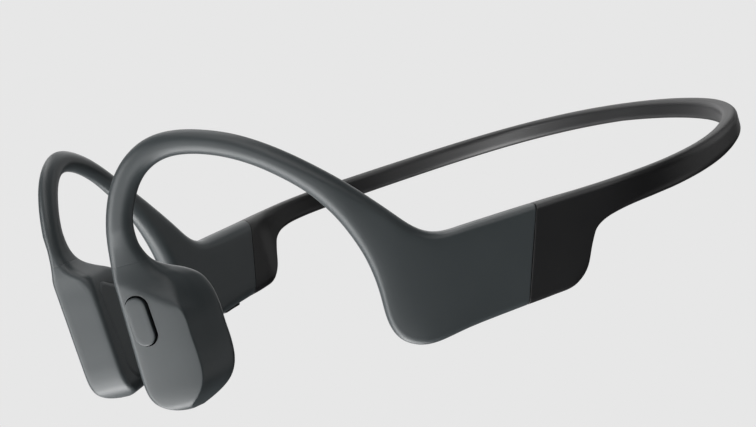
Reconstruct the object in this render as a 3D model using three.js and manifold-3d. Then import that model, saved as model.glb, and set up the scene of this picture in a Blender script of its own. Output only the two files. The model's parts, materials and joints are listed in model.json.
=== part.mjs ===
// Wireless bone conduction headphones: two pods that rest in front of the ears, two ear hooks that
// swell into the electronics housings, and a springy neckband round the back of the head.
// Millimetres. +Z is up, the wearer faces -Y and the wearer's left is +X. Every side piece is
// modelled for the left and mirrored to the right.
import * as THREE from 'three';
import Module from 'manifold-3d';

const wasm = await Module();
wasm.setup();

// ---- driving dimensions ----
// Plan of the arm, from the pod round to the nape. The housing's mid-plane follows it.
const PLAN = [
  [13.2, -60.2], [20.2, -53.1], [27.3, -46], [34.2, -38.9], [40.2, -31.5], [44.9, -22.4],
  [49.8, -11], [54.6, 0], [57.6, 6.9], [60.7, 14.5], [61.7, 22], [60.4, 29.5], [57.5, 37],
  [53.2, 44.3], [48, 51], [41, 57.2], [31.5, 62.4], [18, 65.6], [0, 66.5],
];
// Inner and outer face of the arm, measured out from the plan: [s, inner, outer].
const FACES = [
  [0, -1.65, 1.65], [30, -1.65, 1.65], [38, -1.9, 1.9], [44, -2.3, 2.3], [50, -2.6, 2.6],
  [58, -2.7, 2.7], [70, -2.7, 2.7], [74, -2.4, 2.75], [78, -1.3, 2.85], [81, -0.4, 2.9], [84, -0.1, 2.9],
];
// Profile of the arm: [s, z] of its upper edge, [s, z] of its lower edge, the corner radii of its
// outer and inner side, and how far the section leans back for each millimetre outwards.
const HOOK = [
  [1.4, 8.8, 8.1, 8.4, 1.6, 1.6], [1.9, 12, 7.4, 11.3, 1.6, 1.6], [2.7, 15.5, 7.5, 14.4, 1.6, 1.6],
  [3.8, 18.6, 8.2, 17.1, 1.6, 1.6], [5.4, 21.8, 9.5, 19.4, 1.6, 1.6], [7.6, 24.7, 10.9, 21.5, 1.6, 1.6],
  [10.4, 27, 12.8, 23.2, 1.6, 1.6], [13.6, 28.5, 15.1, 24.3, 1.6, 1.6], [17.4, 29, 17.8, 24.7, 1.6, 1.6],
  [21.2, 28.5, 20.4, 24.4, 1.6, 1.6], [25.2, 27.3, 23.4, 23.6, 1.6, 1.6], [29.4, 25.5, 27, 22.1, 1.6, 1.6],
  [33.6, 22.9, 31, 19.7, 1.65, 1.65], [37.6, 19.8, 34.8, 16.6, 1.7, 1.8], [41.4, 16.3, 38.4, 12.9, 1.7, 2],
  [44.8, 12.8, 41.4, 8.3, 1.7, 2.2], [47.9, 9.2, 43.4, 3.5, 1.7, 2.4], [50.8, 5.6, 44.7, -1.5, 1.6, 2.6],
  [53.2, 2.6, 45.1, -7, 1.5, 2.6], [55.6, 0.7, 44.9, -11.8, 1.4, 2.6], [58, 0, 45.9, -15.1, 1.3, 2.6],
  [60.5, 0, 49.4, -17.2, 1.2, 2.6], [64, 0, 57, -16.6, 1.2, 2.6], [73.4, 0, 67.5, -16, 1.2, 2.6, 0.18],
];
const TAIL = [
  [73.7, 0, 67.8, -16, 1.2, 2.6, 0.18], [77.8, 0, 72.4, -15.8, 1.2, 2, 0.1], [81.5, 0, 76.7, -15.3, 1.2, 1.7],
  [84, 0, 79.2, -13.5, 1.2, 1.5], [86, 0, 80.4, -10.8, 1.2, 1.4], [88, 0, 81.8, -8, 1.2, 1.3],
  [90, 0, 84.2, -6.3, 1.2, 1.3], [92, 0, 88.4, -5.3, 1.2, 1.3], [94, 0, 94, -5, 1.2, 1.3],
];
const BAND_START = 94.4;
const TAIL_STOPS = [79, 82, 85, 88, 91];
const BAND = { height: 5, napeHeight: 3.7, rise: 2.2, radii: [1.2, 1.3], steps: 28 };
const WALL = 0.9;
const GAP = 0.3;
const CHANNEL = { high: 3, wide: 1.7 };
const WIRE = { radius: 0.55, offset: -0.6 };
const CABLE = { radius: 0.4, offset: 0.75 };

// Pod: its outer facet stands on the vertical plane through POD.origin, heading POD.angle.
// Below POD.pivot the pod leans in towards the cheek by POD.lean for each millimetre down.
const POD = {
  origin: [17, -59], angle: 48, lean: 0.047, pivot: 6, padFace: -8.7, padBack: -7.3, liner: -7.2,
};
// Passage for the hook's wire and cable into the pod, and how far it lies inside the facet.
const NECK = { long: 3.4, inner: -2.7, outer: -0.7 };
// z, u of the front edge, u of the facet's rear edge, u of the inner face's rear edge, n of the
// facet, n of the inner face, outer corner radius, inner corner radius.
const POD_LEVELS = [
  [8.2, -2, 4.9, 5, 0, -3.6, 1.6, 1.7], [7.3, -2, 5.4, 6.1, 0, -5.4, 1.2, 1.8],
  [6.4, -2, 5.9, 7.9, 0, -7.2, 0.9, 1.8], [5.3, -2, 6.5, 10.1, 0, -8, 0.9, 1.7],
  [3.9, -2.05, 7.2, 12, 0, -8.3, 0.9, 1.5], [1.5, -2.2, 7.9, 13.4, 0, -8.3, 0.9, 1.4],
  [-1.5, -2.35, 8.5, 13.9, 0, -8.3, 0.9, 1.4], [-9.5, -2.8, 8.5, 13.8, 0, -8.3, 0.9, 1.4],
  [-12, -2.9, 8.3, 13.4, 0, -8.3, 0.9, 1.4], [-14, -2.7, 7.7, 12.6, -0.1, -8.3, 0.9, 1.4],
  [-15.7, -2, 6.6, 11.3, -0.4, -8.3, 0.9, 1.4], [-17, -0.6, 5.5, 9.8, -0.9, -8.1, 0.9, 1.4],
  [-17.9, 0.9, 5.1, 8.2, -1.7, -7.5, 0.9, 1.2], [-18.4, 2.4, 5.1, 6.9, -3, -6.6, 0.5, 0.6],
];
// Multifunction button, a pill in the left pod's facet, and the flange that keeps it in.
const PILL = { u: 0.75, z: -0.8, long: 8.9, wide: 3.9, proud: 0.25, depth: 1.3 };
const FLANGE = { long: 10.3, wide: 2.4, thick: 0.3 };
const DRIVER = { u: 4.6, z: -10.2 };
const KEYS = { front: 51.6, length: 5.6, pitch: 6, wide: 2.2, proud: 0.35, bottom: -16.55, slope: 0.06 };
const PORT = { s: 73.1, out: 0.4, long: 5, wide: 2.4, face: -15.2, back: -13.6, pin: 0.6, pitch: 2.4 };
const LED = { s: 69.3, out: 0, radius: 0.45 };

// Driver pieces turned about the driver's axis: [radius, n] outlines.
const DRIVER_PROFILES = {
  bracket: [[3.6, -7.1], [4, -7.1], [4, -3.1], [3.6, -3.1]],
  coil: [[2.3, -7.1], [2.8, -7.1], [2.8, -5.3], [2.3, -5.3]],
  spring: [[0, -3.45], [3.5, -3.45], [3.5, -3.2], [0, -3.2]],
  yoke: [[0, -4.3], [3, -4.3], [3, -6.3], [3.3, -6.3], [3.3, -3.6], [0, -3.6]],
  magnet: [[0, -5.5], [1.8, -5.5], [1.8, -4.4], [0, -4.4]],
  plate: [[0, -6.2], [1.9, -6.2], [1.9, -5.6], [0, -5.6]],
};
const DRIVER_COLOURS = {
  bracket: 'black', coil: 'copper', spring: 'metal', yoke: 'metal', magnet: 'metal', plate: 'metal',
};
const BAND_ENDS = { wire: 76.3, cable: 79 };

const COLOUR = { grey: 0x4c5153, black: 0x1c1c1d, metal: 0xb4b6b8, board: 0x1f5a3a, copper: 0xb4703c,
  lens: 0xe8e8e6 };

// ---- the arm's plan ----
const planCurve = new THREE.CatmullRomCurve3(
  [...PLAN, ...PLAN.slice(0, -1).reverse().map(([x, y]) => [-x, y])]
    .map(([x, y]) => new THREE.Vector3(x, y, 0)), false, 'centripetal');
planCurve.arcLengthDivisions = 1200;
const PLAN_LENGTH = planCurve.getLength();
const NAPE = PLAN_LENGTH / 2;

function faces(s) {
  const at = Math.min(s, PLAN_LENGTH - s);
  const i = FACES.findIndex(([stop]) => stop > at);
  if (i < 1) return FACES.at(i).slice(1);
  const [[s0, inner0, outer0], [s1, inner1, outer1]] = [FACES[i - 1], FACES[i]];
  const t = THREE.MathUtils.smoothstep(at, s0, s1);
  return [inner0 + (inner1 - inner0) * t, outer0 + (outer1 - outer0) * t];
}

// Point on the arm: s along the plan, z up, out away from the head.
function onArm(s, z, out = 0) {
  const t = THREE.MathUtils.clamp(s / PLAN_LENGTH, 0, 1);
  const point = planCurve.getPointAt(t);
  const along = planCurve.getTangentAt(t);
  return new THREE.Vector3(point.x + along.y * out, point.y - along.x * out, z);
}

// Point on the pod: u along the facet towards the housing, z up, n out of the facet.
function onPod(u, z, n) {
  const a = THREE.MathUtils.degToRad(POD.angle);
  const out = n - POD.lean * Math.max(0, POD.pivot - z);
  return new THREE.Vector3(
    POD.origin[0] + Math.cos(a) * u + Math.sin(a) * out,
    POD.origin[1] + Math.sin(a) * u - Math.cos(a) * out, z);
}

// ---- closed bodies ----
function orient(geometry) {
  const p = geometry.attributes.position;
  const index = geometry.index.array;
  const [a, b, c] = [new THREE.Vector3(), new THREE.Vector3(), new THREE.Vector3()];
  let volume = 0;
  for (let i = 0; i < index.length; i += 3) {
    a.fromBufferAttribute(p, index[i]);
    b.fromBufferAttribute(p, index[i + 1]);
    c.fromBufferAttribute(p, index[i + 2]);
    volume += a.dot(b.cross(c));
  }
  if (volume < 0) {
    for (let i = 0; i < index.length; i += 3) {
      [index[i], index[i + 1]] = [index[i + 1], index[i]];
    }
  }
  return geometry;
}

// Skin over rings of points, closed by a flat cap at each end.
function loft(rings) {
  const count = rings[0].length;
  const index = [];
  for (let i = 0; i + 1 < rings.length; i += 1) {
    for (let j = 0; j < count; j += 1) {
      const k = (j + 1) % count;
      const [a, b, c, d] = [i * count + j, i * count + k, (i + 1) * count + k, (i + 1) * count + j];
      index.push(a, b, c, a, c, d);
    }
  }
  const last = (rings.length - 1) * count;
  for (let j = 1; j + 1 < count; j += 1) {
    index.push(0, j + 1, j, last, last + j, last + j + 1);
  }
  const geometry = new THREE.BufferGeometry();
  const flat = rings.flat().flatMap((v) => v.toArray());
  geometry.setAttribute('position', new THREE.Float32BufferAttribute(flat, 3));
  geometry.setIndex(index);
  return orient(geometry);
}

function mergeVertices(geometry) {
  const p = geometry.attributes.position;
  const seen = new Map();
  const flat = [];
  const remap = [];
  for (let i = 0; i < p.count; i += 1) {
    const v = [p.getX(i), p.getY(i), p.getZ(i)];
    const key = v.map((n) => Math.round(n * 1e5)).join(',');
    if (!seen.has(key)) {
      seen.set(key, flat.length / 3);
      flat.push(...v);
    }
    remap.push(seen.get(key));
  }
  const source = geometry.index ? Array.from(geometry.index.array) : remap.map((_, i) => i);
  const index = [];
  for (let i = 0; i < source.length; i += 3) {
    const t = [remap[source[i]], remap[source[i + 1]], remap[source[i + 2]]];
    if (t[0] !== t[1] && t[1] !== t[2] && t[2] !== t[0]) index.push(...t);
  }
  return { vertProperties: new Float32Array(flat), triVerts: new Uint32Array(index) };
}

function solid(geometry) {
  return new wasm.Manifold(new wasm.Mesh({ numProp: 3, ...mergeVertices(geometry) }));
}

function shape(body) {
  const mesh = body.getMesh();
  const geometry = new THREE.BufferGeometry();
  geometry.setAttribute('position', new THREE.Float32BufferAttribute(mesh.vertProperties, 3));
  geometry.setIndex(Array.from(mesh.triVerts));
  return geometry;
}

function cut(geometry, ...tools) {
  return shape(tools.reduce((body, tool) => body.subtract(solid(tool)), solid(geometry)));
}

function join(...geometries) {
  return shape(geometries.map(solid).reduce((a, b) => a.add(b)));
}

// ---- sections ----
// Corner arcs of a rounded polygon: corners are [x, y, radius], anticlockwise.
function rounded(corners, points) {
  const ring = [];
  corners.forEach(([x, y, r], i) => {
    const before = corners[(i + corners.length - 1) % corners.length];
    const after = corners[(i + 1) % corners.length];
    const p = new THREE.Vector2(x, y);
    const from = new THREE.Vector2(before[0], before[1]).sub(p).normalize();
    const to = new THREE.Vector2(after[0], after[1]).sub(p).normalize();
    const half = Math.acos(THREE.MathUtils.clamp(from.dot(to), -1, 1)) / 2;
    const centre = p.clone().addScaledVector(from.clone().add(to).normalize(), r / Math.sin(half));
    const start = Math.atan2(p.y + from.y * r / Math.tan(half) - centre.y,
      p.x + from.x * r / Math.tan(half) - centre.x);
    const sweep = Math.PI - 2 * half;
    for (let k = 0; k < points; k += 1) {
      const angle = start + sweep * k / (points - 1);
      ring.push([centre.x + r * Math.cos(angle), centre.y + r * Math.sin(angle)]);
    }
  });
  return ring;
}

// Ring round the arm between an upper and a lower edge point, shrunk by inset.
function armRing([s1, z1, s0, z0, outerRadius, innerRadius, lean = 0], inset = 0) {
  const length = Math.hypot(s1 - s0, z1 - z0);
  const a = length / 2 - inset;
  const [inner, outer] = faces((s0 + s1) / 2).map((face, i) => face + (i === 0 ? inset : -inset));
  const ro = Math.max(outerRadius - inset, 0.35);
  const ri = Math.max(innerRadius - inset, 0.35);
  const corners = [[outer, -a, ro], [outer, a, ro], [inner, a, ri], [inner, -a, ri]];
  return rounded(corners, 3).map(([out, up]) => {
    const t = 0.5 + up / length;
    const s = s0 + (s1 - s0) * t + lean * out;
    const [from, to] = faces(s).map((face, i) => face + (i === 0 ? inset : -inset));
    const across = (out - inner) / (outer - inner);
    return onArm(s, z0 + (z1 - z0) * t, from + (to - from) * across);
  });
}

// Round or oval bore along the middle of the arm, offset up the section.
function boreRing([s1, z1, s0, z0], high, wide, sides, offset = 0) {
  const length = Math.hypot(s1 - s0, z1 - z0);
  return Array.from({ length: sides }, (_, k) => {
    const angle = (k + 0.5) * 2 * Math.PI / sides;
    const t = 0.5 + (offset + Math.sin(angle) * high / 2) / length;
    const s = s0 + (s1 - s0) * t;
    const [inner, outer] = faces(s);
    return onArm(s, z0 + (z1 - z0) * t, (inner + outer + Math.cos(angle) * wide) / 2);
  });
}

function podRing([z, front, rear, inner, face, back, ro, ri]) {
  return rounded([[front, back, ri], [inner, back, ri], [rear, face, ro], [front, face, ro]], 3)
    .map(([u, n]) => onPod(u, z, n));
}

// ---- small shapes in the arm's and the pod's own frames ----
// Box in the straight housing: s, z and out ranges.
function armBox(s0, s1, z0, z1, out0, out1) {
  const [base, ahead] = [onArm(s0, z0, out0), onArm(s1, z0, out0)];
  const across = onArm(s0, z0, out1).sub(base).normalize();
  const along = ahead.sub(base).normalize();
  const box = new THREE.BoxGeometry(s1 - s0, out1 - out0, z1 - z0);
  const frame = new THREE.Matrix4().makeBasis(along, across.clone().negate(), new THREE.Vector3(0, 0, 1));
  box.applyMatrix4(frame.setPosition(onArm((s0 + s1) / 2, (z0 + z1) / 2, (out0 + out1) / 2)));
  return box;
}

// Solid of revolution with its axis along the pod's outward normal; profile is [radius, n].
function podTurned(profile, segments) {
  const points = profile.map(([r, n]) => new THREE.Vector2(r, n));
  const closed = profile[0][0] > 0 ? [...points, points[0]] : points;
  const turned = new THREE.LatheGeometry(closed, segments);
  return placeOnPod(turned.rotateX(Math.PI / 2), DRIVER.u, DRIVER.z);
}

// Local x along the facet, local y up it, local z out of the facet, moved to (u, z).
function placeOnPod(geometry, u, z) {
  const along = onPod(1, 0, 0).sub(onPod(0, 0, 0));
  const out = onPod(0, 0, 1).sub(onPod(0, 0, 0));
  const up = new THREE.Vector3(0, 0, 1).addScaledVector(out, POD.lean);
  const frame = new THREE.Matrix4().makeBasis(along, up, out);
  return orientedIndex(geometry.applyMatrix4(frame.setPosition(onPod(u, z, 0))));
}

function orientedIndex(geometry) {
  const merged = mergeVertices(geometry);
  const clean = new THREE.BufferGeometry();
  clean.setAttribute('position', new THREE.Float32BufferAttribute(merged.vertProperties, 3));
  clean.setIndex(Array.from(merged.triVerts));
  return orient(clean);
}

// Round-ended block at the button's place, between two depths.
function pill(long, wide, n0, n1) {
  const half = (long - wide) / 2;
  const outline = new THREE.Shape();
  outline.absarc(0, half, wide / 2, 0, Math.PI, false);
  outline.absarc(0, -half, wide / 2, Math.PI, 2 * Math.PI, false);
  const options = { depth: n1 - n0, bevelEnabled: false, curveSegments: 8 };
  const body = new THREE.ExtrudeGeometry(outline, options);
  body.translate(0, 0, n0);
  return placeOnPod(body, PILL.u, PILL.z);
}

function podPlate(outline, n0, n1) {
  const rings = [n0, n1].map((n) => outline.map(([u, z]) => onPod(u, z, n)));
  return loft(rings);
}

// ---- the pieces ----
// Contact pad outline: [u, z, radius], shrunk or grown by inset.
function padOutline(inset) {
  const i = inset;
  return rounded([
    [-0.2 + i, -15.6 + i, 4.2], [10.9 - i, -15.6 + i, 4.4], [10.9 - i, 0.6 - i, 3.2],
    [-0.2 + i, 5 - i, 2],
  ], 5);
}

function bandStation(s) {
  const fromTail = Math.min(s, PLAN_LENGTH - s) - BAND_START;
  const t = THREE.MathUtils.clamp(fromTail / (NAPE - BAND_START), 0, 1);
  const rise = BAND.rise * THREE.MathUtils.smoothstep(t, 0.1, 1);
  const height = THREE.MathUtils.lerp(BAND.height, BAND.napeHeight, t);
  return [s, rise, s, rise - height, ...BAND.radii];
}

// Station a share t of the way from one station to another, or past it.
function extend(from, to, t) {
  return Array.from({ length: 7 }, (_, i) => THREE.MathUtils.lerp(from[i] ?? 0, to[i] ?? 0, t));
}

function earHook(side) {
  const start = extend(HOOK[0], HOOK[1], -0.5);
  const channel = loft([start, ...HOOK.slice(1, 19)].map((h) => boreRing(h, CHANNEL.high, CHANNEL.wide, 8)));
  const pastSeam = extend(HOOK[22], HOOK[23], 1.1);
  const cavity = loft([...HOOK.slice(18, 23), pastSeam].map((h) => armRing(h, WALL)));
  const cuts = [channel, cavity];
  if (side === 'right') {
    cuts.push(...[0, 1].map((i) => keyBlock(i, GAP, GAP, -3, WALL + 0.6)));
    cuts.push(...[0, 1].map((i) => keyBlock(i, GAP, 0.6 + GAP, WALL + 0.3, WALL + 2.6)));
  }
  return cut(loft(HOOK.map((h) => armRing(h))), ...cuts);
}

// Block over a volume key's plan, between two heights above the housing's underside.
function keyBlock(i, along, across, z0, z1) {
  const s0 = KEYS.front + i * KEYS.pitch;
  const floor = KEYS.bottom + KEYS.slope * (s0 + KEYS.length / 2 - 57);
  const half = KEYS.wide / 2 + across;
  return armBox(s0 - along, s0 + KEYS.length + along, floor + z0, floor + z1, -half, half);
}

function tailPin(s, out, radius, z0, z1) {
  const pin = new THREE.CylinderGeometry(radius, radius, z1 - z0, 10).rotateX(Math.PI / 2);
  const at = onArm(s, (z0 + z1) / 2, out);
  return orientedIndex(pin.translate(at.x, at.y, at.z));
}

function portBlock(grow, z0, z1) {
  const [halfLong, halfWide] = [PORT.long / 2 + grow, PORT.wide / 2 + grow];
  return armBox(PORT.s - halfLong, PORT.s + halfLong, z0, z1, PORT.out - halfWide, PORT.out + halfWide);
}

function tailCap(side) {
  const before = extend(TAIL[0], TAIL[1], -0.2);
  const cavity = loft([before, ...TAIL.slice(1, 5)].map((h) => armRing(h, WALL)));
  const channel = loft([...TAIL_STOPS.slice(1), BAND_START + 0.5].map((s) => (
    boreRing(bandStation(s), CHANNEL.high, CHANNEL.wide, 8))));
  const cuts = [cavity, channel];
  if (side === 'right') {
    cuts.push(portBlock(GAP, -18, PORT.back + GAP), tailPin(LED.s, LED.out, LED.radius + 0.2, -18, -14));
  }
  return cut(loft(TAIL.map((h) => armRing(h))), ...cuts);
}

// Stops along the whole band, from the left tail round to the right one.
function bandStops(from) {
  const count = BAND.steps;
  const round = Array.from({ length: count + 1 }, (_, i) => (
    THREE.MathUtils.lerp(BAND_START, PLAN_LENGTH - BAND_START, i / count)));
  if (from >= BAND_START) return round;
  const tail = [from, ...TAIL_STOPS.filter((s) => s > from)];
  return [...tail, ...round, ...tail.map((s) => PLAN_LENGTH - s).reverse()];
}

function neckbandCover() {
  const stations = bandStops(BAND_START).map(bandStation);
  const over = bandStops(BAND_START - 1).map(bandStation);
  return cut(loft(stations.map((h) => armRing(h))),
    loft(over.map((h) => boreRing(h, CHANNEL.high, CHANNEL.wide, 8))));
}

function neckbandCore({ radius, offset }, from) {
  return loft(bandStops(from).map(bandStation).map((h) => boreRing(h, radius * 2, radius * 2, 6, offset)));
}

function hookCore({ radius, offset }) {
  const inPod = extend(HOOK[0], HOOK[1], -1.2);
  return loft([inPod, ...HOOK.slice(0, 18)].map((h) => boreRing(h, radius * 2, radius * 2, 6, offset)));
}

function podShell(side) {
  const outer = loft(POD_LEVELS.map(podRing));
  const inset = POD_LEVELS.slice(4, 11).map(([z, front, rear, inner, face]) => (
    [z, front + 1.4, rear - 1, inner - 1.7, face - WALL, POD.liner, 0.5, 0.5]));
  const cavity = loft(inset.map(podRing));
  const opening = podPlate(padOutline(-GAP), -9.5, -6.9);
  const neck = loft([[8.9, 0], [3, 0.4]].map(([z, u0]) => {
    const u1 = u0 + NECK.long;
    const corners = [[u0, NECK.inner, 0.5], [u1, NECK.inner, 0.5], [u1, NECK.outer, 0.5], [u0, NECK.outer, 0.5]];
    return rounded(corners, 3).map(([u, n]) => onPod(u, z, n));
  }));
  const cuts = [cavity, opening, neck];
  if (side === 'left') {
    cuts.push(pill(PILL.long + 2 * GAP, PILL.wide + 2 * GAP, -1.8, 1));
    cuts.push(pill(FLANGE.long + 2 * GAP, FLANGE.wide + 2 * GAP, -2.3, -WALL));
  }
  return cut(outer, ...cuts);
}

function podPad() {
  return loft([
    padOutline(0).map(([u, z]) => onPod(u, z, POD.padBack)),
    padOutline(0).map(([u, z]) => onPod(u, z, POD.padFace + 0.3)),
    padOutline(0.35).map(([u, z]) => onPod(u, z, POD.padFace)),
  ]);
}

function podBox(u, z, wide, high, n0, n1) {
  const box = new THREE.BoxGeometry(wide, high, n1 - n0);
  return placeOnPod(box.translate(0, 0, (n0 + n1) / 2), u, z);
}

// Frame that holds the battery or the main board and bridges the seam.
function housingFrame() {
  return cut(armBox(54.4, 73, -13, -2.1, -1.2, 1.3), armBox(55.2, 72.3, -12.1, -2.9, -2, 2));
}

// Ferrule crimped on the end of the neckband's wire, inside the tail.
function wireFerrule() {
  const turn = (from, to, radius) => loft([from, to].map((s) => (
    boreRing(bandStation(s), radius * 2, radius * 2, 8, WIRE.offset))));
  return cut(turn(76.6, 78.2, 1), turn(76, 78.8, WIRE.radius + 0.13));
}

const pieces = [];

function add(name, geometry, colour, roughness, metalness = 0) {
  const material = new THREE.MeshStandardMaterial({ color: colour, roughness, metalness });
  const mesh = new THREE.Mesh(geometry, material);
  mesh.name = name;
  pieces.push(mesh);
}

function mirrored(geometry) {
  const copy = geometry.clone();
  const p = copy.attributes.position;
  for (let i = 0; i < p.count; i += 1) {
    p.setX(i, -p.getX(i));
  }
  return orient(copy.index ? copy : orientedIndex(copy));
}

for (const side of ['left', 'right']) {
  const place = (geometry) => (side === 'left' ? geometry : mirrored(geometry));
  add(`${side}_ear_hook`, place(earHook(side)), COLOUR.grey, 0.5);
  add(`${side}_tail_cap`, place(tailCap(side)), COLOUR.black, 0.7);
  add(`${side}_hook_wire`, place(hookCore(WIRE)), COLOUR.metal, 0.4, 1);
  add(`${side}_hook_cable`, place(hookCore(CABLE)), COLOUR.copper, 0.5);
  add(`${side}_housing_frame`, place(housingFrame()), COLOUR.black, 0.6);
  add(`${side}_wire_ferrule`, place(wireFerrule()), COLOUR.metal, 0.4, 1);
  add(`${side}_pod_shell`, place(podShell(side)), COLOUR.grey, 0.5);
  add(`${side}_contact_pad`, place(podPad()), COLOUR.grey, 0.6);
  Object.entries(DRIVER_PROFILES).forEach(([name, profile]) => {
    add(`${side}_driver_${name}`, place(podTurned(profile, 16)), COLOUR[DRIVER_COLOURS[name]], 0.4, 0.8);
  });
}
add('neckband_cover', neckbandCover(), COLOUR.black, 0.7);
add('neckband_wire', neckbandCore(WIRE, BAND_ENDS.wire), COLOUR.metal, 0.4, 1);
add('neckband_cable', neckbandCore(CABLE, BAND_ENDS.cable), COLOUR.copper, 0.5);

add('multifunction_button', join(
  pill(PILL.long, PILL.wide, -PILL.depth, PILL.proud),
  pill(FLANGE.long, FLANGE.wide, -PILL.depth - FLANGE.thick, -PILL.depth + 0.1)), COLOUR.grey, 0.5);
add('button_seal', pill(PILL.long - 0.4, FLANGE.wide, -2.35, -2.1), COLOUR.black, 0.8);
add('button_switch', podBox(PILL.u, PILL.z, 2.4, 3.4, -3.3, -2.6), COLOUR.metal, 0.4, 0.6);
add('button_board', podBox(PILL.u, PILL.z, 2.4, 7.6, -4.1, -3.6), COLOUR.board, 0.6);
add('battery_cell', armBox(55.5, 71, -11.8, -3.2, -1.4, 1.4), COLOUR.metal, 0.5, 0.4);
add('battery_board', armBox(71.3, 72, -11.6, -3.3, -1.3, 1.3), COLOUR.board, 0.6);

[0, 1].forEach((i) => {
  const name = ['volume_up', 'volume_down'][i];
  const stem = keyBlock(i, 0, 0, -KEYS.proud, WALL + 0.8);
  const flange = keyBlock(i, 0, 0.6, WALL + 0.6, WALL + 1);
  add(`${name}_key`, mirrored(join(stem, flange)), COLOUR.black, 0.5);
  add(`${name}_switch`, mirrored(keyBlock(i, -1.2, 0, WALL + 1.6, WALL + 2.4)), COLOUR.metal, 0.4, 0.6);
});
add('main_board', mirrored(armBox(55.4, 72, -12, -2.9, -0.9, -0.2)), COLOUR.board, 0.6);
add('shield_can', mirrored(armBox(60, 70, -10.5, -4.5, 0, 1.3)), COLOUR.metal, 0.3, 1);
add('microphone', mirrored(armBox(56, 59, -8, -5, 0, 1)), COLOUR.metal, 0.3, 0.8);
const portPins = [-1, 1].map((k) => PORT.s + k * PORT.pitch / 2);
add('charging_port', mirrored(cut(portBlock(0, PORT.face, PORT.back),
  ...portPins.map((s) => tailPin(s, PORT.out, PORT.pin + 0.2, PORT.face - 1, PORT.back - 0.4)))),
COLOUR.black, 0.5);
portPins.forEach((s, i) => {
  const pin = tailPin(s, PORT.out, PORT.pin, PORT.face - 0.05, PORT.back - 0.6);
  add(`charging_pin_${['front', 'rear'][i]}`, mirrored(pin), COLOUR.metal, 0.25, 1);
});
add('status_led', mirrored(tailPin(LED.s, LED.out, LED.radius, -15.95, -14.6)), COLOUR.lens, 0.2);

const assembly = new THREE.Group();
assembly.name = 'bone_conduction_headphones';
assembly.add(...pieces);
const bounds = new THREE.Box3().setFromObject(assembly);
const shift = [-(bounds.min.x + bounds.max.x) / 2, -(bounds.min.y + bounds.max.y) / 2, -bounds.min.z];
pieces.forEach((mesh) => mesh.geometry.translate(...shift));

export default assembly;
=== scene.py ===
"""Bone conduction headphones: the visible skins, materials, light and camera, built round the CAD frame.

Tables are in millimetres in the arm's and the pod's own coordinates, as in the CAD model: s along the
arm from the pod to the nape, z up from the housing's top, out away from the head.
"""
import json
import math

import bmesh
import bpy
import numpy as np
from mathutils import Matrix, Vector


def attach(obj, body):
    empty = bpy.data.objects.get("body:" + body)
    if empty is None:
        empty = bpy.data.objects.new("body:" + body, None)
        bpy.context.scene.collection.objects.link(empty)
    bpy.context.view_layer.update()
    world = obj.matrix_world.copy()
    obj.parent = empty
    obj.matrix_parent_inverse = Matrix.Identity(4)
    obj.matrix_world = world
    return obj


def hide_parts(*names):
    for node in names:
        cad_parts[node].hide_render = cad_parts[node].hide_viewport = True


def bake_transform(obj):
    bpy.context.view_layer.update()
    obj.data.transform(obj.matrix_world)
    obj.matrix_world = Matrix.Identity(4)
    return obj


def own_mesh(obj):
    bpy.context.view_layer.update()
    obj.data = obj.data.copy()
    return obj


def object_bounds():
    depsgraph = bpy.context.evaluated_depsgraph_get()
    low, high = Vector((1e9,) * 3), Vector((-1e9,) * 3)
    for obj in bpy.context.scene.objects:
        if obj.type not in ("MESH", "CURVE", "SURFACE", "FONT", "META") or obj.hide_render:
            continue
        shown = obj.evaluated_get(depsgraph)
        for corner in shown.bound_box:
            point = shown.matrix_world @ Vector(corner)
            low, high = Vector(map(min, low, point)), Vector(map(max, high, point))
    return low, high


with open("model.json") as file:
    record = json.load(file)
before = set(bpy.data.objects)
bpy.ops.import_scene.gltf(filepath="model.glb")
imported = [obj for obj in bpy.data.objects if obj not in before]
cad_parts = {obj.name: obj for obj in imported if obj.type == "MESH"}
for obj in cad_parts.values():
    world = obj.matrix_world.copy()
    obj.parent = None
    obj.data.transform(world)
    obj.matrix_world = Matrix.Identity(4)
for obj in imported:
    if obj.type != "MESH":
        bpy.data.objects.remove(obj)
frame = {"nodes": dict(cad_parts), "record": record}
cad_low, cad_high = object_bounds()
MM = 0.001

# ---- driving dimensions, as in the CAD model ----
PLAN = [
    (13.2, -60.2), (20.2, -53.1), (27.3, -46), (34.2, -38.9), (40.2, -31.5), (44.9, -22.4),
    (49.8, -11), (54.6, 0), (57.6, 6.9), (60.7, 14.5), (61.7, 22), (60.4, 29.5), (57.5, 37),
    (53.2, 44.3), (48, 51), (41, 57.2), (31.5, 62.4), (18, 65.6), (0, 66.5),
]
# s, inner face, outer face
FACES = [
    (0, -1.65, 1.65), (30, -1.65, 1.65), (38, -1.9, 1.9), (44, -2.3, 2.3), (50, -2.6, 2.6),
    (58, -2.7, 2.7), (70, -2.7, 2.7), (74, -2.4, 2.75), (78, -1.3, 2.85), (81, -0.4, 2.9), (84, -0.1, 2.9),
]
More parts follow.
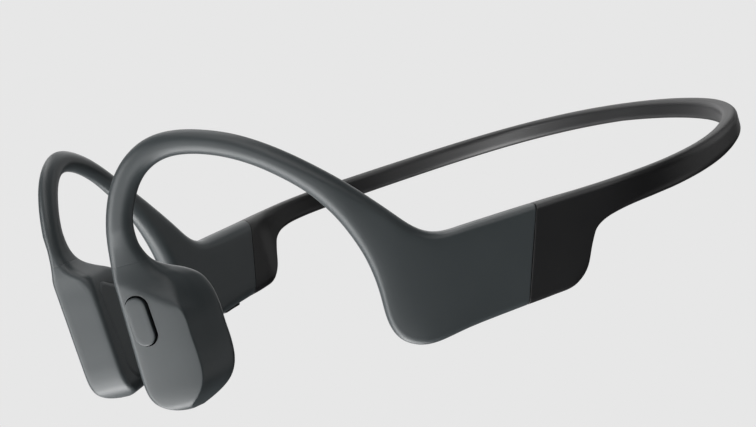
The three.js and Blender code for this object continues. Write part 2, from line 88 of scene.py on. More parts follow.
# s and z of the upper edge, s and z of the lower edge, outer and inner corner radius, lean
HOOK = [
    (1.4, 8.8, 8.1, 8.4, 1.6, 1.6, 0), (1.9, 12, 7.4, 11.3, 1.6, 1.6, 0), (2.7, 15.5, 7.5, 14.4, 1.6, 1.6, 0),
    (3.8, 18.6, 8.2, 17.1, 1.6, 1.6, 0), (5.4, 21.8, 9.5, 19.4, 1.6, 1.6, 0),
    (7.6, 24.7, 10.9, 21.5, 1.6, 1.6, 0), (10.4, 27, 12.8, 23.2, 1.6, 1.6, 0),
    (13.6, 28.5, 15.1, 24.3, 1.6, 1.6, 0), (17.4, 29, 17.8, 24.7, 1.6, 1.6, 0),
    (21.2, 28.5, 20.4, 24.4, 1.6, 1.6, 0), (25.2, 27.3, 23.4, 23.6, 1.6, 1.6, 0),
    (29.4, 25.5, 27, 22.1, 1.6, 1.6, 0), (33.6, 22.9, 31, 19.7, 1.65, 1.65, 0),
    (37.6, 19.8, 34.8, 16.6, 1.7, 1.8, 0), (41.4, 16.3, 38.4, 12.9, 1.7, 2, 0),
    (44.8, 12.8, 41.4, 8.3, 1.7, 2.2, 0), (47.9, 9.2, 43.4, 3.5, 1.7, 2.4, 0),
    (50.8, 5.6, 44.7, -1.5, 1.6, 2.6, 0), (53.2, 2.6, 45.1, -7, 1.5, 2.6, 0),
    (55.6, 0.7, 44.9, -11.8, 1.4, 2.6, 0), (58, 0, 45.9, -15.1, 1.3, 2.6, 0),
    (60.5, 0, 49.4, -17.2, 1.2, 2.6, 0), (64, 0, 57, -16.6, 1.2, 2.6, 0.03),
    (73.5, 0, 67.6, -16, 1.2, 2.6, 0.18),
]
TAIL = [
    (73.62, 0, 67.72, -16, 1.2, 2.6, 0.18), (77.8, 0, 72.4, -15.8, 1.2, 2, 0.15),
    (81.4, 0, 76.6, -15.3, 1.2, 1.7, 0.12), (83.8, 0, 78.9, -13.5, 1.2, 1.5, 0.12),
    (85.8, 0, 80.1, -10.8, 1.2, 1.4, 0.12), (87.8, 0, 81.5, -8, 1.2, 1.3, 0.12),
    (90, 0, 84, -6.3, 1.2, 1.3, 0.06), (92, 0, 88.4, -5.3, 1.2, 1.3, 0), (94, 0, 94, -5, 1.2, 1.3, 0),
]
BAND_START = 94.4
BAND_RISE, BAND_HIGH, NAPE_HIGH = 2.2, 5, 3.7
BAND_CORNERS = (1.2, 1.3, 0)
# z, u of the front, of the facet's rear edge and of the inner rear edge, n of the inner face, n of the
# facet, corner radii: facet rear, facet front, inner front, inner rear
POD = [
    (8.2, -2, 4.9, 5, -3.6, 0, 1.6, 1.6, 1.7, 1.7),
    (7.3, -2, 5.4, 6.1, -5.4, 0, 1.8, 1.4, 1.8, 1.8),
    (6.4, -2, 5.9, 7.9, -7.2, 0, 2.1, 1.2, 1.8, 1.8),
    (5.3, -2, 6.5, 10.1, -8, 0, 2.4, 1, 1.7, 1.7),
    (3.9, -2.05, 7.2, 12, -8.3, 0, 2.4, 1, 1.3, 1.5),
    (1.5, -2.2, 7.9, 13.4, -8.3, 0, 1.5, 1, 1.1, 1.4),
    (-1.5, -2.35, 8.5, 13.9, -8.3, 0, 0.6, 1, 1, 1.4),
    (-5.5, -2.6, 8.5, 13.85, -8.3, 0, 0.5, 1, 1, 1.4),
    (-9.5, -2.8, 8.5, 13.8, -8.3, 0, 0.5, 1, 1, 1.4),
    (-12, -2.9, 8.3, 13.4, -8.3, 0, 0.5, 1, 1, 1.4),
    (-14, -2.7, 7.6, 12.6, -8.3, 0, 0.4, 1, 1, 1.4),
    (-15.7, -2, 6.3, 11.3, -8.3, -0.2, 0.4, 1, 1, 1.4),
    (-17, -0.6, 4.7, 9.6, -7.8, -0.7, 0.5, 0.9, 1.1, 1.4),
    (-17.9, 0.9, 3.8, 7.5, -6.9, -1.7, 0.6, 0.7, 1, 1.1),
    (-18.4, 2.2, 3.6, 5.7, -5.4, -3, 0.4, 0.4, 0.5, 0.5),
]
POD_ORIGIN = (17, -59)
POD_ANGLE = math.radians(48)
POD_LEAN, POD_PIVOT = 0.047, 6
PILL_U, PILL_Z, PILL_LONG, PILL_WIDE = 0.62, -0.83, 8.7, 3.75
KEY_FRONT, KEY_PITCH, KEY_LONG, KEY_WIDE = 51.6, 6, 5.6, 2.2
KEY_BOTTOM, KEY_SLOPE, KEY_SLOPE_S = -16.5, 0.06, 57
PORT_S, PORT_OUT, PORT_LONG, PORT_WIDE = 73.1, 0.4, 5, 2.4
LED_S, LED_RADIUS, LED_GAP = 69.3, 0.45, 0.08
SPRING_U, SPRING_Z, SPRING_BACK = 4.6, -10.2, -3.2
WIRE_RADIUS, WIRE_OFFSET, CABLE_RADIUS, CABLE_OFFSET = 0.55, -0.6, 0.4, 0.75
# Points on each rounded corner and each flat of a section.
ARC, FLAT = 8, 7
# How much the hook's edges are thinner than its middle, the s where that ends and the length it fades over.
BULGE, BULGE_END, BULGE_FADE = 0.35, 50, 14
# Spacing along the arm, points per span of the plan, and how far its plan and its faces are smoothed.
STEP, SPAN_POINTS, PLAN_SIGMA, FACE_SIGMA = 0.25, 60, 1.8, 1.5
SHARP_ANGLE = math.radians(28)
# Gap round the keys and the port, and their corner radii.
GAP, KEY_CORNER, PORT_CORNER = 0.12, 0.7, 0.8

# The tables' origin in the CAD frame: the nape's outer face and the pods' lowest points fix it.
SHIFT = np.array([0, cad_high.y / MM - PLAN[-1][1] - FACES[-1][2], cad_low.z / MM - POD[-1][0]])


# ---- curves ----
def smoothed(values, sigma, step):
    """Rows of values smoothed along their length, with both ends kept."""
    reach = int(3 * sigma / step) + 1
    x = np.arange(-reach, reach + 1) * step
    kernel = np.exp(-x * x / (2 * sigma * sigma))
    kernel /= kernel.sum()
    v = np.asarray(values, float)
    head = 2 * v[0] - v[reach:0:-1]
    tail = 2 * v[-1] - v[-2:-reach - 2:-1]
    padded = np.concatenate([head, v, tail])
    return np.stack([np.convolve(c, kernel, "valid") for c in padded.T], 1)


def hermite(rows, at, wanted):
    """Rows placed at the distances at, read at the wanted distances on a smooth curve."""
    rows = np.asarray(rows, float)
    slope = np.gradient(rows, at, axis=0)
    i = np.clip(np.searchsorted(at, wanted, "right") - 1, 0, len(at) - 2)
    h = (at[i + 1] - at[i])[:, None]
    t = ((wanted - at[i])[:, None]) / h
    a, b = rows[i], rows[i + 1]
    return ((2 * t ** 3 - 3 * t ** 2 + 1) * a + (t ** 3 - 2 * t ** 2 + t) * h * slope[i]
            + (3 * t ** 2 - 2 * t ** 3) * b + (t ** 3 - t ** 2) * h * slope[i + 1])


def centripetal(points):
    """Centripetal Catmull-Rom curve through the points."""
    p = [np.array(q, float) for q in points]
    p = [2 * p[0] - p[1]] + p + [2 * p[-1] - p[-2]]
    t = np.linspace(0, 1, SPAN_POINTS, endpoint=False)[:, None]
    out = []
    for a, b, c, d in zip(p, p[1:], p[2:], p[3:]):
        d0, d1, d2 = (math.sqrt(np.linalg.norm(v)) for v in (b - a, c - b, d - c))
        m0 = ((b - a) / d0 - (c - a) / (d0 + d1) + (c - b) / d1) * d1
        m1 = ((c - b) / d1 - (d - b) / (d1 + d2) + (d - c) / d2) * d1
        out.append((2 * t ** 3 - 3 * t ** 2 + 1) * b + (t ** 3 - 2 * t ** 2 + t) * m0
                   + (3 * t ** 2 - 2 * t ** 3) * c + (t ** 3 - t ** 2) * m1)
    return np.concatenate(out + [p[-2][None]])


def along(points):
    return np.concatenate([[0], np.cumsum(np.linalg.norm(np.diff(points, axis=0), axis=1))])


_round = centripetal(PLAN + [(-x, y) for x, y in PLAN[-2::-1]])
_at = along(_round)
PLAN_LENGTH = _at[-1]
NAPE = PLAN_LENGTH / 2
_s = np.arange(0, PLAN_LENGTH + STEP / 2, STEP)
_even = np.stack([np.interp(_s, _at, _round[:, 0]), np.interp(_s, _at, _round[:, 1])], 1)
_plan = smoothed(_even, PLAN_SIGMA, STEP)
_tangent = np.gradient(_plan, axis=0)
_tangent /= np.linalg.norm(_tangent, axis=1)[:, None]


def _face_table():
    half = np.minimum(_s, PLAN_LENGTH - _s)
    stops = [f[0] for f in FACES]
    i = np.clip(np.searchsorted(stops, half, "right") - 1, 0, len(FACES) - 2)
    low, high = np.array(FACES)[i], np.array(FACES)[i + 1]
    t = np.clip((half - low[:, 0]) / (high[:, 0] - low[:, 0]), 0, 1)
    t = (t * t * (3 - 2 * t))[:, None]
    return smoothed(low[:, 1:] + (high[:, 1:] - low[:, 1:]) * t, FACE_SIGMA, STEP)


_faces = _face_table()


def faces(s):
    return np.interp(s, _s, _faces[:, 0]), np.interp(s, _s, _faces[:, 1])


def on_arm(s, z, out):
    """Points on the arm, in metres in the CAD frame."""
    s, z, out = np.broadcast_arrays(np.asarray(s, float), z, out)
    x, y = np.interp(s, _s, _plan[:, 0]), np.interp(s, _s, _plan[:, 1])
    tx, ty = np.interp(s, _s, _tangent[:, 0]), np.interp(s, _s, _tangent[:, 1])
    return (np.stack([x + ty * out, y - tx * out, z], -1) + SHIFT) * MM


POD_U = np.array([math.cos(POD_ANGLE), math.sin(POD_ANGLE), 0])
POD_N = np.array([math.sin(POD_ANGLE), -math.cos(POD_ANGLE), 0])
POD_O = np.array([POD_ORIGIN[0], POD_ORIGIN[1], 0.0])


def on_pod(u, z, n):
    """Points on the left pod, in metres in the CAD frame."""
    u, z, n = np.broadcast_arrays(np.asarray(u, float), z, n)
    n = n - POD_LEAN * np.maximum(0, POD_PIVOT - z)
    p = POD_O + u[..., None] * POD_U + n[..., None] * POD_N
    p[..., 2] = z
    return (p + SHIFT) * MM


# ---- sections ----
def rounded(corners, arc=ARC, flat=FLAT):
    """Ring round an anticlockwise polygon of (x, y, radius), with points on its flats too."""
    arcs = []
    for i, (x, y, r) in enumerate(corners):
        before, after = corners[i - 1], corners[(i + 1) % len(corners)]
        p = np.array([x, y], float)
        a, b = np.array(before[:2]) - p, np.array(after[:2]) - p
        a, b = a / np.linalg.norm(a), b / np.linalg.norm(b)
        half = math.acos(max(-1, min(1, float(a @ b)))) / 2
        middle = (a + b) / np.linalg.norm(a + b)
        centre = p + middle * r / math.sin(half)
        start = p + a * r / math.tan(half) - centre
        angle = math.atan2(start[1], start[0]) + (math.pi - 2 * half) * np.linspace(0, 1, arc)
        arcs.append(centre + r * np.stack([np.cos(angle), np.sin(angle)], 1))
    ring = []
    for i, points in enumerate(arcs):
        end = arcs[(i + 1) % len(arcs)][0]
        t = np.linspace(0, 1, flat + 2)[1:-1, None]
        ring += [points, points[-1] + (end - points[-1]) * t]
    return np.concatenate(ring)


def arm_ring(row):
    """Ring round the arm between an upper and a lower edge point."""
    s1, z1, s0, z0, outer_radius, inner_radius, lean = row
    length = math.hypot(s1 - s0, z1 - z0)
    a = length / 2
    inner, outer = faces((s0 + s1) / 2)
    limit = min(a, (outer - inner) / 2) * 0.985
    ro, ri = min(outer_radius, limit), min(inner_radius, limit)
    if ro + ri > (outer - inner) * 0.99:
        ri = (outer - inner) * 0.99 - ro
    ring = rounded([(outer, -a, ro), (outer, a, ro), (inner, a, ri), (inner, -a, ri)])
    t = 0.5 + ring[:, 1] / length
    s = s0 + (s1 - s0) * t + lean * ring[:, 0]
    low, high = faces(s)
    across = (ring[:, 0] - inner) / (outer - inner)
    bulge = BULGE * np.clip((BULGE_END - s) / BULGE_FADE, 0, 1) * (2 * t - 1) ** 2
    across = 0.5 + (across - 0.5) * (1 - bulge)
    return on_arm(s, z0 + (z1 - z0) * t, low + (high - low) * across)


def bore_ring(row, radius, sides, offset):
    """Round ring along the middle of the arm."""
    s1, z1, s0, z0 = row[:4]
    length = math.hypot(s1 - s0, z1 - z0)
    angle = (np.arange(sides) + 0.5) * 2 * math.pi / sides
    t = 0.5 + (offset + np.sin(angle) * radius) / length
    s = s0 + (s1 - s0) * t
    inner, outer = faces(s)
    return on_arm(s, z0 + (z1 - z0) * t, (inner + outer) / 2 + np.cos(angle) * radius)


def pod_ring(row):
    z, front, rear, inner, back, face, r_rear, r_front, r_inner, r_back = row
    ring = rounded([(rear, face, r_rear), (front, face, r_front), (front, back, r_inner),
                    (inner, back, r_back)])
    return on_pod(ring[:, 0], z, ring[:, 1])


def row_distances(rows, columns):
    pairs = [np.asarray(rows, float)[:, c] for c in columns]
    return np.mean([along(p) for p in pairs], axis=0)


def dense(rows, columns, step, sigma):
    """The rows read every step along the piece and smoothed."""
    at = row_distances(rows, columns)
    wanted = np.linspace(0, at[-1], int(at[-1] / step) + 1)
    return smoothed(hermite(rows, at, wanted), sigma, wanted[1])


# ---- meshes ----
def new_object(name, verts, polygons):
    mesh = bpy.data.meshes.new(name)
    mesh.from_pydata([tuple(v) for v in verts], [], [tuple(p) for p in polygons])
    mesh.validate()
    bm = bmesh.new()
    bm.from_mesh(mesh)
    bmesh.ops.recalc_face_normals(bm, faces=bm.faces)
    bm.to_mesh(mesh)
    bm.free()
    mesh.shade_smooth()
    obj = bpy.data.objects.new(name, mesh)
    bpy.context.scene.collection.objects.link(obj)
    return obj


def mirror(points, side):
    return np.asarray(points) * ([-1, 1, 1] if side == "right" else [1, 1, 1])


def skin(name, rings, side, close):
    """Closed skin over rings; close gives how far each end's edge is rounded in, in millimetres."""
    rings = [np.asarray(r) for r in rings]
    for end, radius in ((0, close[0]), (-1, close[1])):
        if radius is None:
            continue
        ring, neighbour = rings[end], rings[1 if end == 0 else -2]
        centre = ring.mean(0)
        on = ring - neighbour
        on = on / np.maximum(np.linalg.norm(on, axis=1), 1e-9)[:, None]
        inward = centre - ring
        reach = np.linalg.norm(inward, axis=1)[:, None]
        inward = inward / reach
        extra = []
        for angle in (22.5, 45, 67.5, 90):
            a = math.radians(angle)
            extra.append(ring + (inward * (1 - math.cos(a)) + on * (math.sin(a) - 1)) * radius * MM)
        ring_0 = ring - on * radius * MM
        extra += [extra[-1] + inward * reach * share for share in (0.3, 0.7)]
        if end == 0:
            rings = extra[::-1] + [ring_0] + rings[1:]
        else:
            rings = rings[:-1] + [ring_0] + extra
    count = len(rings[0])
    polygons = []
    for i in range(len(rings) - 1):
        for j in range(count):
            k = (j + 1) % count
            polygons.append((i * count + j, i * count + k, (i + 1) * count + k, (i + 1) * count + j))
    last = (len(rings) - 1) * count
    polygons.append(list(range(count))[::-1])
    polygons.append([last + j for j in range(count)])
    return new_object(name, mirror(np.concatenate(rings), side), polygons)


def cut(obj, *tools):
    """Cuts the tools out of obj and removes them."""
    for tool in tools:
        modifier = obj.modifiers.new("cut", "BOOLEAN")
        modifier.object = tool
        modifier.operation = "DIFFERENCE"
        modifier.solver = "EXACT"
    graph = bpy.context.evaluated_depsgraph_get()
    mesh = bpy.data.meshes.new_from_object(obj.evaluated_get(graph))
    obj.modifiers.clear()
    old, obj.data = obj.data, mesh
    mesh.name = old.name
    for tool in tools:
        bpy.data.objects.remove(tool)
    sharpen(obj)


def sharpen(obj):
    """Marks the edges sharper than SHARP_ANGLE, and keeps the rest smooth."""
    bm = bmesh.new()
    bm.from_mesh(obj.data)
    for edge in bm.edges:
        edge.smooth = not (len(edge.link_faces) == 2 and edge.calc_face_angle(0) > SHARP_ANGLE)
    bm.to_mesh(obj.data)
    bm.free()


def slab(name, outline, place, levels, side):
    """Rounded block: an outline of (x, y) lofted through (height, inset) levels by place(x, y, height)."""
    outline = np.asarray(outline, float)
    centre = outline.mean(0)
    rings = []
    for height, inset in levels:
        reach = np.linalg.norm(outline - centre, axis=1)[:, None]
        ring = outline + (centre - outline) / reach * inset
        rings.append(place(ring[:, 0], ring[:, 1], height))
    return skin(name, rings, side, close=(None, None))


def pill_outline(long, wide, du=0.0, dz=0.0):
    ends = []
    for start, sign in ((0, 1), (math.pi, -1)):
        a = start + np.linspace(0, math.pi, 20)
        ends.append(np.stack([PILL_U + du + np.cos(a) * wide / 2,
                              PILL_Z + dz + sign * (long - wide) / 2 + np.sin(a) * wide / 2], 1))
    return np.concatenate(ends)


def pad_outline(inset):
    i = inset
    corners = [(-0.2 + i, -15.6 + i, 4.2), (10.9 - i, -15.6 + i, 4.4), (10.9 - i, 0.6 - i, 3.2),
               (-0.2 + i, 5 - i, 2)]
    return rounded(corners, 12, 4)


# ---- materials ----
def srgb(r, g, b):
    def linear(c):
        c /= 255
        return c / 12.92 if c <= 0.04045 else ((c + 0.055) / 1.055) ** 2.4
    return linear(r), linear(g), linear(b), 1.0


GRAIN_DEPTH, GRAIN_STRENGTH, GLOSS_SPREAD = 0.00002, 0.25, 0.03


def material(name, dark, light, rough, grain=0.00035, metal=0.0):
    """Moulded finish: colour clouds, roughness clouds and a fine grain in the surface."""
    m = bpy.data.materials.new(name)
    m.use_nodes = True
    nodes, links = m.node_tree.nodes, m.node_tree.links
    shader = nodes["Principled BSDF"]
    shader.inputs["Metallic"].default_value = metal
    where = nodes.new("ShaderNodeTexCoord")
    clouds = nodes.new("ShaderNodeTexNoise")
    clouds.inputs["Scale"].default_value = 60
    clouds.inputs["Detail"].default_value = 4
    ramp = nodes.new("ShaderNodeValToRGB")
    ramp.color_ramp.elements[0].position = 0.35
    ramp.color_ramp.elements[1].position = 0.65
    ramp.color_ramp.elements[0].color = dark
    ramp.color_ramp.elements[1].color = light
    gloss = nodes.new("ShaderNodeMapRange")
    gloss.inputs["To Min"].default_value = rough - GLOSS_SPREAD
    gloss.inputs["To Max"].default_value = rough + GLOSS_SPREAD
    fine = nodes.new("ShaderNodeTexNoise")
    fine.inputs["Scale"].default_value = 1 / grain
    fine.inputs["Detail"].default_value = 2
    bump = nodes.new("ShaderNodeBump")
    bump.inputs["Strength"].default_value = GRAIN_STRENGTH
    bump.inputs["Distance"].default_value = GRAIN_DEPTH
    links.new(where.outputs["Object"], clouds.inputs["Vector"])
    links.new(where.outputs["Object"], fine.inputs["Vector"])
    links.new(clouds.outputs["Fac"], ramp.inputs["Fac"])
    links.new(clouds.outputs["Fac"], gloss.inputs["Value"])
    links.new(ramp.outputs["Color"], shader.inputs["Base Color"])
    links.new(gloss.outputs["Result"], shader.inputs["Roughness"])
    links.new(fine.outputs["Fac"], bump.inputs["Height"])
    links.new(bump.outputs["Normal"], shader.inputs["Normal"])
    return m


SLATE = material("slate_satin", srgb(57, 62, 64), srgb(61, 66, 68), 0.4)
BLACK = material("black_silicone", srgb(24, 24, 25), srgb(27, 27, 28), 0.42)
TRIM = material("black_plastic", srgb(22, 22, 23), srgb(26, 26, 27), 0.45)
STEEL = material("drawn_steel", srgb(165, 166, 168), srgb(182, 183, 185), 0.3, 0.0006, metal=1.0)
COPPER = material("copper_wire", srgb(176, 106, 60), srgb(196, 122, 74), 0.35, 0.0006, metal=1.0)
SHEATH = material("cable_sheath", srgb(120, 48, 32), srgb(134, 56, 38), 0.55)
BOARD = material("solder_mask", srgb(24, 84, 50), srgb(30, 98, 60), 0.4)
FOIL = material("battery_foil", srgb(176, 178, 182), srgb(190, 192, 196), 0.35, 0.0008, metal=0.8)
GOLD = material("plated_contact", srgb(212, 176, 96), srgb(226, 190, 110), 0.25, metal=1.0)
LENS = material("light_lens", srgb(214, 218, 216), srgb(224, 228, 226), 0.3)
OF_SLOT = {
    "shell_grey": SLATE, "pad_grey": SLATE, "silicone_black": BLACK, "trim_black": TRIM, "steel": STEEL,
    "spring_wire": STEEL, "magnet": STEEL, "coil_copper": COPPER, "cable_sheath": SHEATH,
    "circuit_board": BOARD, "battery_foil": FOIL, "contact_gold": GOLD, "lens_white": LENS,
}
SLOT_OF = {p["node"]: p["material_slot"] for p in frame["record"]["subparts"]}
for node, obj in frame["nodes"].items():
    obj.data.materials.clear()
    obj.data.materials.append(OF_SLOT[SLOT_OF[node]])


def finish_piece(obj, node, body=None):
    """The piece stands for the CAD node, in its slot's material, on its body."""
    obj.data.materials.clear()
    obj.data.materials.append(OF_SLOT[SLOT_OF[node]])
    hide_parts(node)
    if body:
        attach(obj, body)


# ---- pod and ear hook ----
# The crease's height at the pod's axis and its fall with u, and how softly it turns.
CREASE_Z, CREASE_FALL, CREASE_SOFT = 5.8, 0.7, 0.2
# How far the face leans back, over what height, and its share at the front edge.
LEAN, LEAN_REACH, LEAN_FRONT = 2, 2.6, 0.15
TURN_START, TURN_LENGTH, TURN_MOST = -2, 7, 1.2
CROWN, CROWN_U = 0.007, 4
# The lean fades inwards over a depth, up the hook and along it.
LEAN_DEPTH, LEAN_TOP, TOP_FADE, LEAN_END, END_FADE = 4, 15, 6, 20, 5
# Rings each side of the seam that are evened out, and how many times.
SEAM_RINGS, SEAM_PASSES = 8, 60
SHOULDER_BELOW, SHOULDER_ABOVE, SHOULDER_PASSES, SHOULDER_N, SHOULDER_DEPTH = 13, 14, 100, -2.4, 4
SEAM_GAP = 0.00001


def lean_back(points):
    """The face above the facet's slanted upper edge leans back into the hook's outer face."""
    p = points / MM - SHIFT - POD_O
    u, n, z = p @ POD_U, p @ POD_N, p[:, 2]
    n = n + POD_LEAN * np.maximum(0, POD_PIVOT - z)
    above = (z - (CREASE_Z - CREASE_FALL * u)) / math.hypot(1, CREASE_FALL)
    above = np.logaddexp(0, above / CREASE_SOFT) * CREASE_SOFT
    weight = (np.clip((n + LEAN_DEPTH) / LEAN_DEPTH, 0, 1) * np.clip((LEAN_TOP - z) / TOP_FADE, 0, 1)
              * np.clip((LEAN_END - u) / END_FADE, 0, 1))
    turn = LEAN_FRONT + (1 - LEAN_FRONT) * np.clip((u - TURN_START) / TURN_LENGTH, 0, TURN_MOST)
    drop = LEAN * turn * (1 - np.exp(-above / LEAN_REACH)) + CROWN * (u - CROWN_U) ** 2
    return points - (drop * weight)[:, None] * POD_N * MM


def even_out(rings, low, high, share):
    """Moves the rings from low to high a quarter of share of the way to their neighbours."""
    before, after = rings[low - 1:high - 1], rings[low + 1:high + 1]
    rings[low:high] += share * (before + after - 2 * rings[low:high]) * 0.25


pod_rows = dense(POD, ((0, 1), (0, 2), (0, 3), (0, 4)), 0.22, 0.5)[::-1]
pod_rings = [pod_ring(r) for r in pod_rows]
hook_rings = [arm_ring(r) for r in dense(HOOK, ((0, 1), (2, 3)), 0.45, 1.4)]
chain = np.array([lean_back(r) for r in pod_rings + hook_rings])
SEAM = len(pod_rings)
for _ in range(SEAM_PASSES):
    even_out(chain, SEAM - SEAM_RINGS, SEAM + SEAM_RINGS, 1)
# The shoulder between the hook and the pod's inner side is softer than the outer side's.
inward = np.clip(((chain / MM - SHIFT - POD_O) @ POD_N - SHOULDER_N) / -SHOULDER_DEPTH, 0, 1)[..., None]
low, high = SEAM - SHOULDER_BELOW, SEAM + SHOULDER_ABOVE
for _ in range(SHOULDER_PASSES):
    even_out(chain, low, high, inward[low:high])


def band_row(s):
    """Row for the neckband at s, which rises and gets lower towards the nape."""
    t = max(0.0, (s - BAND_START) / (NAPE - BAND_START))
    f = max(0.0, (t - 0.1) / 0.9)
    rise = BAND_RISE * f * f * (3 - 2 * f)
    return s, rise, s, rise - (BAND_HIGH + (NAPE_HIGH - BAND_HIGH) * t)


black_rows = np.array(TAIL + [
    band_row(s) + BAND_CORNERS for s in np.linspace(BAND_START + 3, NAPE, 24)])
black_rings = [arm_ring(r) for r in dense(black_rows, ((0, 1), (2, 3)), 0.4, 0.5)]
black_rings[-1][:, 0] = 0


def slot_outline(s0, s1, half, corner):
    """Rounded rectangle under the arm, from s0 to s1."""
    return rounded([(s0, -half, corner), (s1, -half, corner), (s1, half, corner), (s0, half, corner)], 8, 5)


def key_slab(name, i, grow, levels, side):
    """Key i, or its pit when it grows, set along the sloping underside."""
    s0 = KEY_FRONT + i * KEY_PITCH
    outline = slot_outline(s0 - grow, s0 + KEY_LONG + grow, KEY_WIDE / 2 + grow, KEY_CORNER)

    def place(s, out, z):
        return on_arm(s, KEY_BOTTOM + KEY_SLOPE * (s - KEY_SLOPE_S) + z, out)

    return slab(name, outline, place, levels, side)


def arm_place(s, out, z):
    return on_arm(s, z, out)


def button_place(u, z, n):
    return lean_back(on_pod(u, z, n))


# Heights and insets of each slab: pits cut right through the skin, caps have softened edges.
PAD_PIT = [(-9.5, 0), (-7.7, 0)]
PAD_LEVELS = [(-7.75, 0), (-8.27, 0), (-8.3, 0.03), (-8.3, 1.0)]
BUTTON_PIT = [(-2.2, 0), (1.0, 0)]
BUTTON_LEVELS = [(-1.3, 0), (0.1, 0), (0.2, 0.04), (0.27, 0.14), (0.3, 0.35), (0.31, 1.2)]
KEY_PIT = [(-3, 0), (1.6, 0)]
KEY_LEVELS = [(1.7, 0), (-0.1, 0), (-0.25, 0.05), (-0.33, 0.18), (-0.35, 0.4)]
PORT_PIT = [(-18, 0), (-13.4, 0)]
LED_PIT = [(-18, 0), (-14, 0)]

for side in ("left", "right"):
    arm = f"{side}_arm"
    pod = skin(f"{side}_pod_skin", chain[:SEAM + 1], side, close=(None, 0.02))
    hook = skin(f"{side}_hook_skin", chain[SEAM:] + (0, 0, SEAM_GAP), side, close=(0.02, 0.12))
    tools = [slab("pad_pit", pad_outline(-0.02), on_pod, PAD_PIT, side)]
    if side == "left":
        # The pit is wider than the button at its rear, where the gap shows as a dark crescent.
        outline = pill_outline(PILL_LONG + 0.45, PILL_WIDE + 0.54, 0.24, 0.08)
        tools.append(slab("button_pit", outline, on_pod, BUTTON_PIT, side))
    cut(pod, *tools)
    finish_piece(pod, f"{side}_pod_shell", arm)
    pad = slab(f"{side}_contact_skin", pad_outline(0), on_pod, PAD_LEVELS, side)
    finish_piece(pad, f"{side}_contact_pad", arm)
    if side == "right":
        cut(hook, *[key_slab("key_pit", i, GAP, KEY_PIT, side) for i in (0, 1)])
    else:
        sharpen(hook)
    finish_piece(hook, f"{side}_ear_hook", arm)

    band = skin(f"{side}_band_skin", black_rings, side, close=(0.12, None))
    if side == "right":
        reach = PORT_LONG / 2 + GAP
        port = slot_outline(PORT_S - reach, PORT_S + reach, PORT_WIDE / 2 + GAP, PORT_CORNER) + [0, PORT_OUT]
        a = np.linspace(0, 2 * math.pi, 24, endpoint=False)
        radius = LED_RADIUS + LED_GAP
        led = np.stack([LED_S + np.cos(a) * radius, np.sin(a) * radius], 1)
        cut(band, slab("port_pit", port, arm_place, PORT_PIT, side),
            slab("pit", led, arm_place, LED_PIT, side))
    else:
        sharpen(band)
    finish_piece(band, f"{side}_tail_cap")
    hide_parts("neckband_cover")
    nape = on_arm(NAPE, 0, 1.4)
    tail = mirror(on_arm(BAND_START, 0, 1.4), side)
    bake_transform(band)
    for kind, radius, offset, first in (("wire", WIRE_RADIUS, WIRE_OFFSET, 76.3),
                                        ("cable", CABLE_RADIUS, CABLE_OFFSET, 79)):
        rings = [bore_ring(band_row(s), radius, 12, offset) for s in np.linspace(first, NAPE, 70)]
        rings[-1][:, 0] = 0
        core = skin(f"{side}_band_{kind}", rings, side, close=(None, None))
        finish_piece(core, f"neckband_{kind}")
        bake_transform(core)

button = slab("button_cap", pill_outline(PILL_LONG, PILL_WIDE), button_place, BUTTON_LEVELS, "left")
finish_piece(button, "multifunction_button", "multifunction_button")
for i, name in enumerate(("volume_up", "volume_down")):
    key = key_slab(f"{name}_cap", i, 0, KEY_LEVELS, "right")
    finish_piece(key, f"{name}_key", f"{name}_key")

# Each driver's flat spring gets a mesh of its own; its back point and the direction away from it are worked
# out but not used.
for side in ("left", "right"):
    spring = frame["nodes"][f"{side}_driver_spring"]
    back = mirror(on_pod(SPRING_U, SPRING_Z, SPRING_BACK), side)
    away = mirror(POD_N - [0, 0, POD_LEAN], side)
    away = away / np.linalg.norm(away)
    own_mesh(spring)


# ---- camera, floor and light ----
def aim(obj, position, target, roll=0.0):
    forward = (Vector(target) - Vector(position)).normalized()
    right = forward.cross(Vector((0, 0, 1))).normalized()
    up = right.cross(forward)
    c, s = math.cos(roll), math.sin(roll)
    r, u = c * right + s * up, c * up - s * right
    matrix = Matrix((r, u, -forward)).transposed().to_4x4()
    matrix.translation = Vector(position)
    obj.matrix_world = matrix


def area(name, position, target, size, power):
    light = bpy.data.lights.new(name, "AREA")
    light.shape = "RECTANGLE"
    light.size, light.size_y = size, size
    light.energy = power
    obj = bpy.data.objects.new(name, light)
    bpy.context.scene.collection.objects.link(obj)
    aim(obj, position, target)


AZIMUTH, ELEVATION, ROLL = math.radians(60.14), math.radians(7.8), math.radians(-16.78)
eye = (np.array([273.8, -155.1, 42.3]) + SHIFT) * MM
view = Vector((-math.sin(AZIMUTH) * math.cos(ELEVATION), math.cos(AZIMUTH) * math.cos(ELEVATION),
               -math.sin(ELEVATION)))
camera = bpy.data.objects.new("camera", bpy.data.cameras.new("camera"))
bpy.context.scene.collection.objects.link(camera)
camera.data.sensor_width = 36
camera.data.lens = 77.14
camera.data.clip_start, camera.data.clip_end = 0.005, 20
aim(camera, eye, Vector(eye) + view, ROLL)
bpy.context.scene.camera = camera


def glow(name, colour):
    """Plain material that gives off its colour."""
    m = bpy.data.materials.new(name)
    m.use_nodes = True
    nodes = m.node_tree.nodes
    nodes.clear()
    emission = nodes.new("ShaderNodeEmission")
    emission.inputs["Color"].default_value = colour
    out = nodes.new("ShaderNodeOutputMaterial")
    m.node_tree.links.new(emission.outputs[0], out.inputs["Surface"])
    return m


def camera_only(obj):
    """The backdrop is seen by the camera, and neither lights nor shades the headphones."""
    obj.visible_diffuse = False
    obj.visible_glossy = False
    obj.visible_transmission = False
    obj.visible_shadow = False


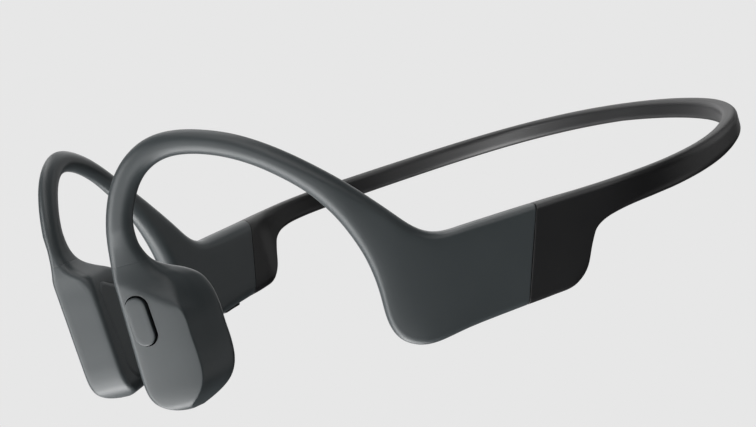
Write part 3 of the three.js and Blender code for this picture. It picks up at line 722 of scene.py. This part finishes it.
PALE = glow("pale_backdrop", srgb(231, 231, 231))
BACKDROP_RADIUS, BACKDROP_SIDES, DOME_RINGS, FLOOR_DROP = 8, 48, 12, 0.0004
around = np.linspace(0, 2 * math.pi, BACKDROP_SIDES, endpoint=False)


def backdrop_ring(angle):
    """Ring of the dome at an angle above the floor."""
    radius = BACKDROP_RADIUS * math.cos(angle)
    height = np.full_like(around, BACKDROP_RADIUS * math.sin(angle) - FLOOR_DROP)
    return np.stack([np.cos(around) * radius, np.sin(around) * radius, height], 1)


floor = new_object("floor", backdrop_ring(0), [list(range(BACKDROP_SIDES))])
rings = [backdrop_ring(t) for t in np.linspace(0, math.pi / 2 - 0.02, DOME_RINGS)]
top = (DOME_RINGS - 1) * BACKDROP_SIDES
panels = [[top + j for j in range(BACKDROP_SIDES)]]
for low in range(0, top, BACKDROP_SIDES):
    high = low + BACKDROP_SIDES
    for j in range(BACKDROP_SIDES):
        k = (j + 1) % BACKDROP_SIDES
        panels.append((low + j, low + k, high + k, high + j))
dome = new_object("dome", np.concatenate(rings), panels)
for obj in (floor, dome):
    obj.data.materials.append(PALE)
    camera_only(obj)

# Soft boxes all round: azimuth and elevation seen from the headphones, and watts.
SOFT_BOXES = (
    (-130, 74, 1.4), (-90, 48, 0.6), (60, 70, 0.6), (-5, -50, 2.2), (-37, -63, 2.6), (-20, 15, 1.5),
    (-12, -14, 1.9), (78, 41, 0.8), (8, -26, 1.2), (-145, 40, 0.4), (-105, 14, 0.5), (40, -18, 0.5),
    (-137, 6, 0.4), (33, 8, 0.3), (170, 11, 0.35), (-97, -17, 0.3), (145, -28, 0.3),
)
BOX_SIZE, BOX_DISTANCE = 0.4, 0.6
CENTRE = Vector((0, -0.01, 0.025))
for i, (azimuth, elevation, power) in enumerate(SOFT_BOXES):
    a, e = math.radians(azimuth), math.radians(elevation)
    towards = Vector((math.sin(a) * math.cos(e), -math.cos(a) * math.cos(e), math.sin(e)))
    area(f"soft_box_{i}", CENTRE + towards * BOX_DISTANCE, CENTRE, BOX_SIZE, power)
world = bpy.data.worlds.new("studio")
bpy.context.scene.world = world
world.use_nodes = True
world.node_tree.nodes["Background"].inputs["Color"].default_value = (1, 1, 1, 1)
world.node_tree.nodes["Background"].inputs["Strength"].default_value = 0.0
bpy.context.scene.view_settings.view_transform = "Standard"
